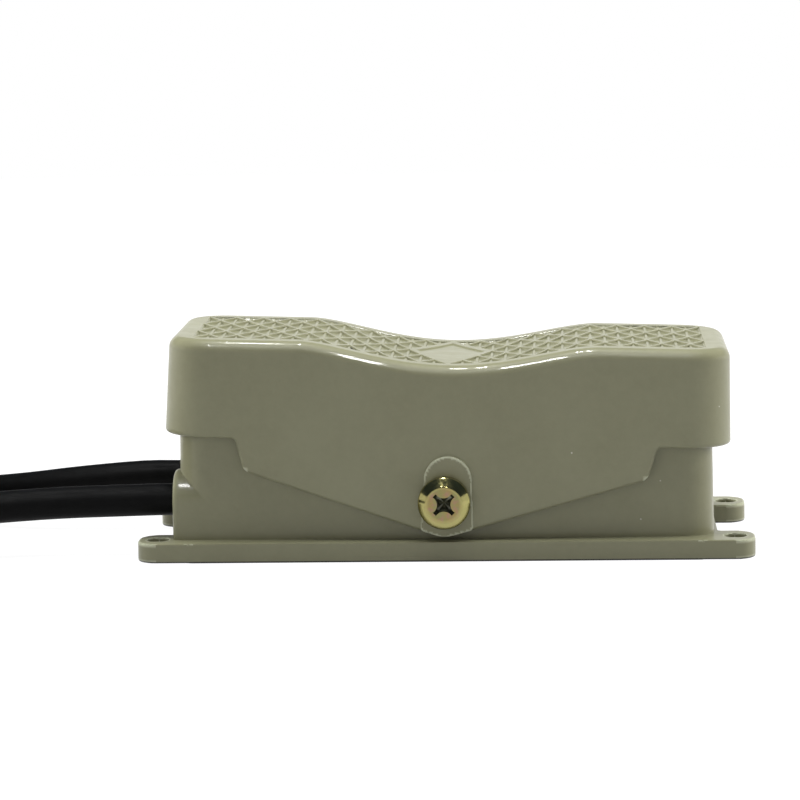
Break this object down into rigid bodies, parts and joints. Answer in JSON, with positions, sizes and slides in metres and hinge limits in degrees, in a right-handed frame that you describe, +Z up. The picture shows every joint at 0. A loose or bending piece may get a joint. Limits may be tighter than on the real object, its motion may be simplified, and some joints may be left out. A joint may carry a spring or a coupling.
{
  "type": "treadle foot switch",
  "caption": "See-saw treadle foot switch: ribbed rocking cover on a cast flanged housing with fixing ears, sprung push rods, snap-action switches and rubber cables.",
  "frame": {"origin": "on the floor, under the middle of the housing, between the four fixing holes", "axes": "+X along the length, away from the cables; +Y from the front pivot screw to the rear one; +Z up"},
  "size_m": [0.3778, 0.1356, 0.0686],
  "materials": {
    "enamel": "gloss enamel on cast aluminium",
    "rubber": "satin",
    "nitrile": "matt",
    "zinc_yellow": "yellow zinc plate",
    "steel": "bright zinc plate",
    "bronze": "sintered bronze",
    "brass": "plain brass",
    "phenolic": "moulded phenolic",
    "red_plastic": "moulded",
    "insulation": "PVC core insulation",
    "gasket": "cork and rubber sheet",
    "nylon": "nylon"
  },
  "bodies": {
    "base": {"housing": "enamel", "bottom_plate": "steel", "plate_gasket": "gasket", "plate_screws": "steel", "pivot_screw_front": "zinc_yellow", "pivot_screw_rear": "zinc_yellow", "pivot_washers": "steel", "spring_seats": "steel", "guide_bushes": "bronze", "rod_seals": "nitrile", "stop_buffers": "nitrile", "bracket_left": "steel", "bracket_right": "steel", "bracket_screws": "steel", "switch_case_left": "phenolic", "switch_case_right": "phenolic", "switch_blades": "brass", "switch_screws": "steel", "switch_nuts": "steel", "cable_seal_front": "nitrile", "cable_seal_rear": "nitrile", "cable_clamps": "steel", "clamp_screws": "steel", "leads_front": "insulation", "leads_rear": "insulation", "earth_tag": "brass", "earth_screw": "zinc_yellow", "cable_front": "rubber", "cable_rear": "rubber", "coil_front": "rubber", "coil_rear": "rubber", "core_ends_front": "insulation", "core_ends_rear": "insulation", "ferrules_front": "steel", "ferrules_rear": "steel", "coil_ties": "nylon", "return_spring_left": "steel", "return_spring_right": "steel"},
    "treadle": {"treadle": "enamel", "pivot_bushes": "bronze", "contact_studs": "steel"},
    "rod_left": {"rod_left": "steel", "rod_clip_left": "steel"},
    "rod_right": {"rod_right": "steel", "rod_clip_right": "steel"},
    "lever_left": {"lever_left": "steel"},
    "lever_right": {"lever_right": "steel"},
    "button_left": {"button_left": "red_plastic"},
    "button_right": {"button_right": "red_plastic"}
  },
  "joints": [
    {"name": "treadle_rock", "type": "hinge", "parent": "base", "child": "treadle", "pos_m": [0, 0, 0.0182], "axis": [0, 1, 0], "range_deg": [-6.8, 3.2], "stiffness_Nm_per_rad": 8},
    {"name": "rod_slide_left", "type": "slide", "parent": "base", "child": "rod_left", "axis": [0, 0, 1], "range_m": [-0.0061, 0.0029], "deforming": ["return_spring_left"]},
    {"name": "rod_slide_right", "type": "slide", "parent": "base", "child": "rod_right", "axis": [0, 0, 1], "range_m": [-0.0029, 0.0061], "deforming": ["return_spring_right"]},
    {"name": "lever_hinge_left", "type": "hinge", "parent": "base", "child": "lever_left", "pos_m": [-0.022, 0, 0.0209], "axis": [0, 1, 0], "range_deg": [-12, 6]},
    {"name": "lever_hinge_right", "type": "hinge", "parent": "base", "child": "lever_right", "pos_m": [0.022, 0, 0.0209], "axis": [0, 1, 0], "range_deg": [-12, 6]},
    {"name": "button_slide_left", "type": "slide", "parent": "base", "child": "button_left", "axis": [0, 0, 1], "range_m": [-0.0013, 0.0006]},
    {"name": "button_slide_right", "type": "slide", "parent": "base", "child": "button_right", "axis": [0, 0, 1], "range_m": [-0.0006, 0.0013]}
  ],
  "couplings": [
    {"joint": "rod_slide_left", "follows": "treadle_rock", "m_per_rad": 0.05},
    {"joint": "rod_slide_right", "follows": "treadle_rock", "m_per_rad": -0.05},
    {"joint": "lever_hinge_left", "follows": "treadle_rock", "ratio": 1.6964},
    {"joint": "lever_hinge_right", "follows": "treadle_rock", "ratio": 1.6964},
    {"joint": "button_slide_left", "follows": "treadle_rock", "m_per_rad": 0.010179},
    {"joint": "button_slide_right", "follows": "treadle_rock", "m_per_rad": -0.010179}
  ]
}
